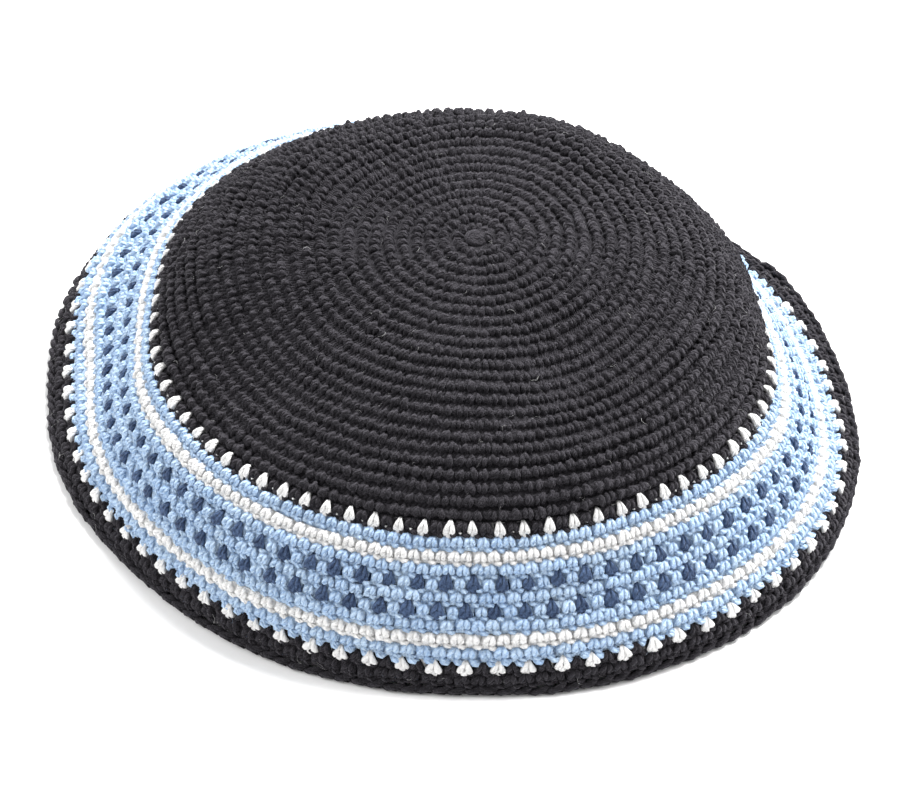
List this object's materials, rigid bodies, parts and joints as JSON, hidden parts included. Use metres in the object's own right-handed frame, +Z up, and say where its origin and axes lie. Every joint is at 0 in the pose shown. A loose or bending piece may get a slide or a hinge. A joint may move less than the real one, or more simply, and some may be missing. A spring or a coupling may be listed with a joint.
{
  "type": "kippah skullcap",
  "caption": "Round crocheted skullcap with a soft domed crown, a patterned band of coloured rounds and a dark edging, open underneath for the head.",
  "frame": {"origin": "middle of the bounding box, on the surface that the rim rests on", "axes": "+Z up through the crown, -Y towards the front of the picture, +X to its right"},
  "size_m": [0.1582, 0.1572, 0.0453],
  "materials": {
    "black_yarn": "matt spun yarn, crocheted",
    "light_blue_yarn": "soft satin plied yarn, crocheted",
    "white_yarn": "soft satin plied yarn, crocheted",
    "check_yarn": "light blue yarn with navy checks, crocheted"
  },
  "bodies": {
    "root": {"crown": "black_yarn", "inner_points_round": "black_yarn", "inner_blue_round": "light_blue_yarn", "inner_white_round": "white_yarn", "check_band": "check_yarn", "outer_white_round": "white_yarn", "outer_blue_round": "light_blue_yarn", "outer_points_round": "black_yarn", "edging": "black_yarn"}
  },
  "joints": []
}
